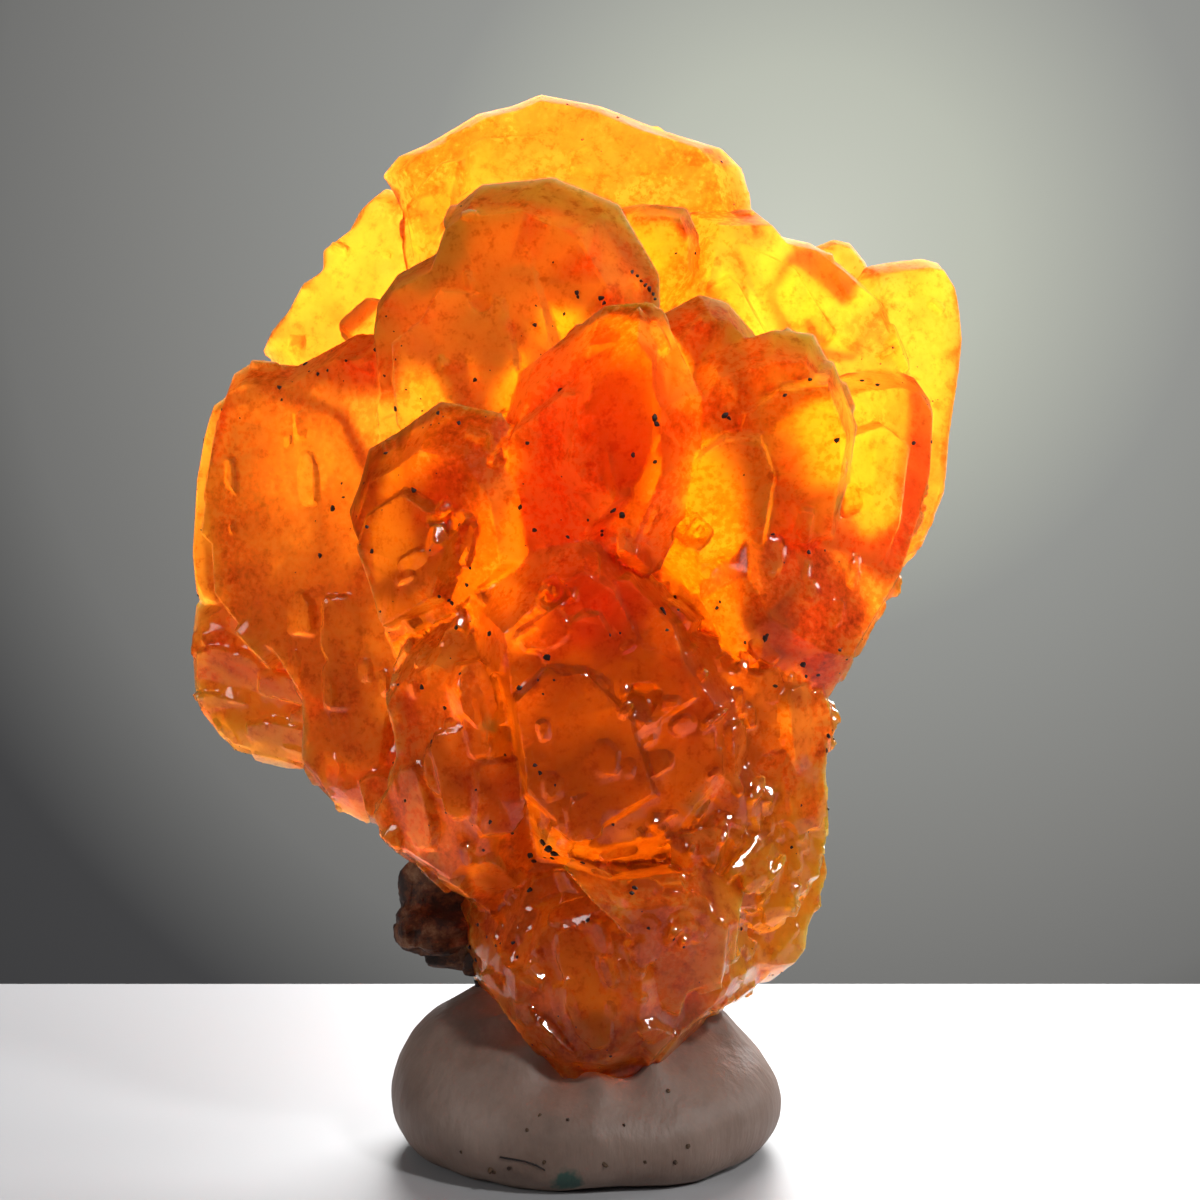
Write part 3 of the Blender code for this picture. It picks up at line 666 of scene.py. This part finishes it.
def fibre(material, tree):
    """The thin dark fibre lying on the tack."""
    points = []
    for px, py in FIBRE:
        point, normal = seen(tree, px, py)
        points.append(point + normal * FIBRE_WIDTH * FIBRE_RAISED)
    bm = bmesh.new()
    turn = (points[1] - points[0]).normalized().to_track_quat("Z", "Y")
    first = bmesh.ops.create_circle(
        bm, cap_ends=True, segments=6, radius=FIBRE_WIDTH / 2,
        matrix=Matrix.Translation(points[0]) @ turn.to_matrix().to_4x4())
    face = first["verts"][0].link_faces[0]
    for start, end in zip(points, points[1:]):
        moved = bmesh.ops.extrude_discrete_faces(bm, faces=[face])["faces"][0]
        bmesh.ops.translate(bm, vec=end - start, verts=moved.verts)
        face = moved
    bmesh.ops.recalc_face_normals(bm, faces=bm.faces)
    return finished("tack_fibre", bm, material, "tack")


def node_of(tree, kind, **values):
    """A shader node with its input values set by name."""
    made = tree.nodes.new(kind)
    for key, value in values.items():
        made.inputs[key.replace("_", " ")].default_value = value
    return made


def plain_material(name):
    """A new material, with its node tree and its shader."""
    made = bpy.data.materials.new(name)
    made.use_nodes = True
    return made, made.node_tree, made.node_tree.nodes["Principled BSDF"]


def ramp_of(tree, source, stops):
    """A colour ramp through the stops, each a position and a colour."""
    ramp = tree.nodes.new("ShaderNodeValToRGB")
    tree.links.new(source, ramp.inputs["Fac"])
    elements = ramp.color_ramp.elements
    for element, (position, colour) in zip(elements, (stops[0], stops[-1])):
        element.position = position
        element.color = (*colour, 1.0)
    for position, colour in stops[1:-1]:
        added = elements.new(position)
        added.color = (*colour, 1.0)
    return ramp.outputs["Color"]


def noise_at(tree, place, scale, detail, roughness):
    """A noise over the place, with its scale per metre."""
    made = node_of(tree, "ShaderNodeTexNoise", Scale=scale, Detail=detail, Roughness=roughness)
    tree.links.new(place, made.inputs["Vector"])
    return made.outputs["Fac"]


def from_vertices(tree, name, output):
    """What the mesh keeps on its vertices under that name."""
    made = tree.nodes.new("ShaderNodeAttribute")
    made.attribute_name = name
    return made.outputs[output]


def summed(tree, parts):
    """The sum of the parts, each a share and a source."""
    total = None
    for share, source in parts:
        step = tree.nodes.new("ShaderNodeMath")
        step.operation = "MULTIPLY_ADD"
        tree.links.new(source, step.inputs[0])
        step.inputs[1].default_value = share
        step.inputs[2].default_value = 0.0
        if total:
            tree.links.new(total, step.inputs[2])
        total = step.outputs[0]
    return total


def blended(tree, kind, factor, first, second):
    """Two colours blended in that way, wholly or by a factor."""
    mix = tree.nodes.new("ShaderNodeMix")
    mix.data_type = "RGBA"
    mix.blend_type = kind
    mix.inputs["Factor"].default_value = 1.0
    if factor:
        tree.links.new(factor, mix.inputs["Factor"])
    tree.links.new(first, mix.inputs["A"])
    tree.links.new(second, mix.inputs["B"])
    return mix.outputs["Result"]


def crystal_colour(tree, place, cloud):
    """Mottled orange with a tone for each facet, the tints with their painted light and shade, and
    fine dim flaws.
    """
    total = summed(tree, (
        (0.22, from_vertices(tree, "facet", "Fac")),
        (0.82, cloud),
        (0.91, noise_at(tree, place, 6500.0, 2.0, 0.6)),
    ))
    plain = ramp_of(tree, total, ORANGES)
    cover = from_vertices(tree, "tint and painted light cover", "Fac")
    tinted_and_painted_light = blended(tree, "MIX", cover, plain, from_vertices(tree, "tint", "Color"))
    dim = ramp_of(tree, noise_at(tree, place, 2400.0, 3.0, 0.8), FLAWS)
    return blended(tree, "MULTIPLY", None, tinted_and_painted_light, dim)


def crystal_gloss(tree, place, cloud, shader):
    """Silky faces, with a bright gloss low down that fades towards the top."""
    roughness = node_of(
        tree, "ShaderNodeMapRange", From_Min=0.3, From_Max=0.7, To_Min=0.45, To_Max=0.65)
    tree.links.new(cloud, roughness.inputs["Value"])
    tree.links.new(roughness.outputs["Result"], shader.inputs["Roughness"])
    height = tree.nodes.new("ShaderNodeSeparateXYZ")
    tree.links.new(place, height.inputs["Vector"])
    shine = node_of(
        tree, "ShaderNodeMapRange", From_Min=0.010, From_Max=0.016, To_Min=0.9, To_Max=0.0)
    tree.links.new(height.outputs["Z"], shine.inputs["Value"])
    tree.links.new(shine.outputs["Result"], shader.inputs["Coat Weight"])
    shader.inputs["Coat Roughness"].default_value = 0.08
    shader.inputs["Coat IOR"].default_value = 1.5


def crystal_material():
    """Milky orange crystal: see-through, with a slightly different tone in each facet."""
    made, tree, shader = plain_material("wulfenite")
    place = tree.nodes.new("ShaderNodeTexCoord").outputs["Object"]
    cloud = noise_at(tree, place, 800.0, 3.0, 0.68)
    tree.links.new(crystal_colour(tree, place, cloud), shader.inputs["Base Color"])
    crystal_gloss(tree, place, cloud, shader)
    shader.inputs["IOR"].default_value = 1.18
    shader.inputs["Specular IOR Level"].default_value = 0.0
    shader.inputs["Transmission Weight"].default_value = 0.55
    shader.inputs["Subsurface Weight"].default_value = 0.85
    shader.inputs["Subsurface Radius"].default_value = (1.0, 0.9, 0.6)
    shader.inputs["Subsurface Scale"].default_value = 0.003
    body = tree.nodes.new("ShaderNodeVolumeAbsorption")
    body.inputs["Density"].default_value = 1000.0
    body.inputs["Color"].default_value = (0.996, 0.968, 0.6, 1.0)
    tree.links.new(body.outputs["Volume"], tree.nodes["Material Output"].inputs["Volume"])
    return made


def vector_step(tree, kind, source, amount=None):
    """A step of vector arithmetic on a source."""
    step = tree.nodes.new("ShaderNodeVectorMath")
    step.operation = kind
    tree.links.new(source, step.inputs[0])
    if amount:
        step.inputs[1].default_value = amount
    return step


def stained(tree, colour, place):
    """The colour with the teal stain mixed in over its ragged spot."""
    offset = vector_step(tree, "SUBTRACT", place, [x * MM for x in STAIN_CENTRE])
    scaled = vector_step(tree, "DIVIDE", offset.outputs["Vector"], [x * MM for x in STAIN_REACH])
    apart = vector_step(tree, "LENGTH", scaled.outputs["Vector"])
    stray = node_of(tree, "ShaderNodeMapRange", To_Min=-STAIN_STRAY, To_Max=STAIN_STRAY)
    tree.links.new(noise_at(tree, place, 1600.0, 3.0, 0.7), stray.inputs["Value"])
    strayed = tree.nodes.new("ShaderNodeMath")
    strayed.operation = "ADD"
    tree.links.new(apart.outputs["Value"], strayed.inputs[0])
    tree.links.new(stray.outputs["Result"], strayed.inputs[1])
    mask = node_of(
        tree, "ShaderNodeMapRange", From_Min=1.0, From_Max=0.55, To_Min=0.0, To_Max=STAIN_STRENGTH)
    mask.interpolation_type = "SMOOTHSTEP"
    tree.links.new(strayed.outputs["Value"], mask.inputs["Value"])
    mix = tree.nodes.new("ShaderNodeMix")
    mix.data_type = "RGBA"
    mix.inputs["B"].default_value = (*TEAL, 1.0)
    tree.links.new(mask.outputs["Result"], mix.inputs["Factor"])
    tree.links.new(colour, mix.inputs["A"])
    return mix.outputs["Result"]


def tack_material():
    """Warm grey tack with darker smears, fine streaks and one teal stain."""
    made, tree, shader = plain_material("mineral tack")
    place = tree.nodes.new("ShaderNodeTexCoord").outputs["Object"]
    smeared = ramp_of(tree, noise_at(tree, place, 480.0, 6.0, 0.65), (
        (0.25, (0.14, 0.088, 0.065)),
        (0.45, (0.21, 0.138, 0.106)),
        (0.6, (0.25, 0.17, 0.133)),
        (0.8, (0.30, 0.215, 0.175)),
    ))
    tree.links.new(stained(tree, smeared, place), shader.inputs["Base Color"])
    shader.inputs["Roughness"].default_value = 0.55
    stretched = tree.nodes.new("ShaderNodeMapping")
    stretched.inputs["Scale"].default_value = (1.0, 1.0, 0.18)
    tree.links.new(place, stretched.inputs["Vector"])
    streaks = noise_at(tree, stretched.outputs["Vector"], 5200.0, 3.0, 0.5)
    bump = node_of(tree, "ShaderNodeBump", Strength=0.5, Distance=0.00006)
    tree.links.new(streaks, bump.inputs["Height"])
    tree.links.new(bump.outputs["Normal"], shader.inputs["Normal"])
    return made


def rock_material():
    """Dark brown rock with black and rust-coloured patches."""
    made, tree, shader = plain_material("iron-stained matrix")
    place = tree.nodes.new("ShaderNodeTexCoord").outputs["Object"]
    colour = ramp_of(tree, noise_at(tree, place, 1500.0, 7.0, 0.7), (
        (0.32, (0.012, 0.005, 0.003)),
        (0.46, (0.045, 0.014, 0.006)),
        (0.56, (0.16, 0.05, 0.015)),
        (0.70, (0.34, 0.17, 0.08)),
    ))
    tree.links.new(colour, shader.inputs["Base Color"])
    shader.inputs["Roughness"].default_value = 0.75
    return made


def speckled_material(name, dark, light, roughness):
    """Two near tones mixed by a fine noise."""
    made, tree, shader = plain_material(name)
    place = tree.nodes.new("ShaderNodeTexCoord").outputs["Object"]
    colour = ramp_of(tree, noise_at(tree, place, 9000.0, 2.0, 0.5), ((0.35, dark), (0.65, light)))
    tree.links.new(colour, shader.inputs["Base Color"])
    shader.inputs["Roughness"].default_value = roughness
    return made


def flat_material(name, colour, roughness):
    """One plain colour, for the floor alone."""
    made, _, shader = plain_material(name)
    shader.inputs["Base Color"].default_value = (*colour, 1.0)
    shader.inputs["Roughness"].default_value = roughness
    return made


def floor():
    """A pale table top, which ends a little behind the specimen."""
    bm = bmesh.new()
    bmesh.ops.create_grid(bm, x_segments=1, y_segments=1, size=1.0)
    bmesh.ops.scale(bm, vec=(*FLOOR_HALF, 1.0), verts=bm.verts)
    bmesh.ops.translate(bm, vec=(0.0, FLOOR_EDGE - FLOOR_HALF[1], -FLOOR_UNDER), verts=bm.verts)
    table = linked("floor", bm)
    table.data.materials.append(flat_material("pale floor", (0.42, 0.42, 0.43), 0.5))


def soft_light(name, place, aim, width, radiance, through):
    """A round soft light, which lights through the crystals only where it may."""
    lamp = bpy.data.lights.new(name, "AREA")
    lamp.shape = "DISK"
    lamp.size = width * MM
    lamp.energy = radiance * math.pi ** 2 * (lamp.size / 2) ** 2
    made = bpy.data.objects.new(name, lamp)
    made.location = Vector(place) * MM
    made.rotation_euler = (Vector(aim) - Vector(place)).to_track_quat("-Z", "Y").to_euler()
    made.visible_camera = False
    made.visible_transmission = through
    bpy.context.scene.collection.objects.link(made)


def studio():
    """A grey surround that is brightest behind the specimen's upper right, and the soft lights."""
    world = bpy.data.worlds.new("studio")
    world.use_nodes = True
    tree = world.node_tree
    direction = tree.nodes.new("ShaderNodeTexCoord")
    apart = vector_step(tree, "DISTANCE", direction.outputs["Generated"], BRIGHT_SPOT.normalized())
    glow = ramp_of(tree, apart.outputs["Value"], SURROUND)
    tree.links.new(glow, tree.nodes["Background"].inputs["Color"])
    bpy.context.scene.world = world
    for light in LIGHTS:
        soft_light(*light)


def camera():
    """The photograph's view."""
    lens = bpy.data.cameras.new("camera")
    lens.sensor_width = SENSOR_MM
    lens.lens = SENSOR_MM * FOCAL_PIXELS / PHOTO_SIDE
    lens.clip_start = MM
    made = bpy.data.objects.new("camera", lens)
    made.location = EYE * MM
    made.rotation_euler = (math.pi / 2 + PITCH, 0.0, 0.0)
    bpy.context.scene.collection.objects.link(made)
    bpy.context.scene.camera = made
    bpy.context.scene.view_settings.view_transform = "Standard"


camera()
studio()
floor()
cluster = crystals(crystal_material())
crystal_tree = tree_of(cluster)
matrix_scrap(rock_material(), crystal_tree)
tack = tack_lump(tack_material(), crystal_tree)
tack_tree = tree_of(tack)
loose = loose_places(crystal_tree, LOOSE_GRAINS, random.Random("loose grains"))
sprinkled(
    "dark_grains", speckled_material("dark ore", (0.006, 0.003, 0.003), (0.03, 0.012, 0.01), 0.5),
    "matrix", crystal_tree, GRAINS, loose)
sprinkled(
    "tack_specks", speckled_material("brown dust", (0.03, 0.012, 0.006), (0.10, 0.05, 0.02), 0.7),
    "tack", tack_tree, TACK_SPECKS, [])
fibre(speckled_material("dark fibre", (0.01, 0.006, 0.006), (0.03, 0.015, 0.012), 0.6), tack_tree)
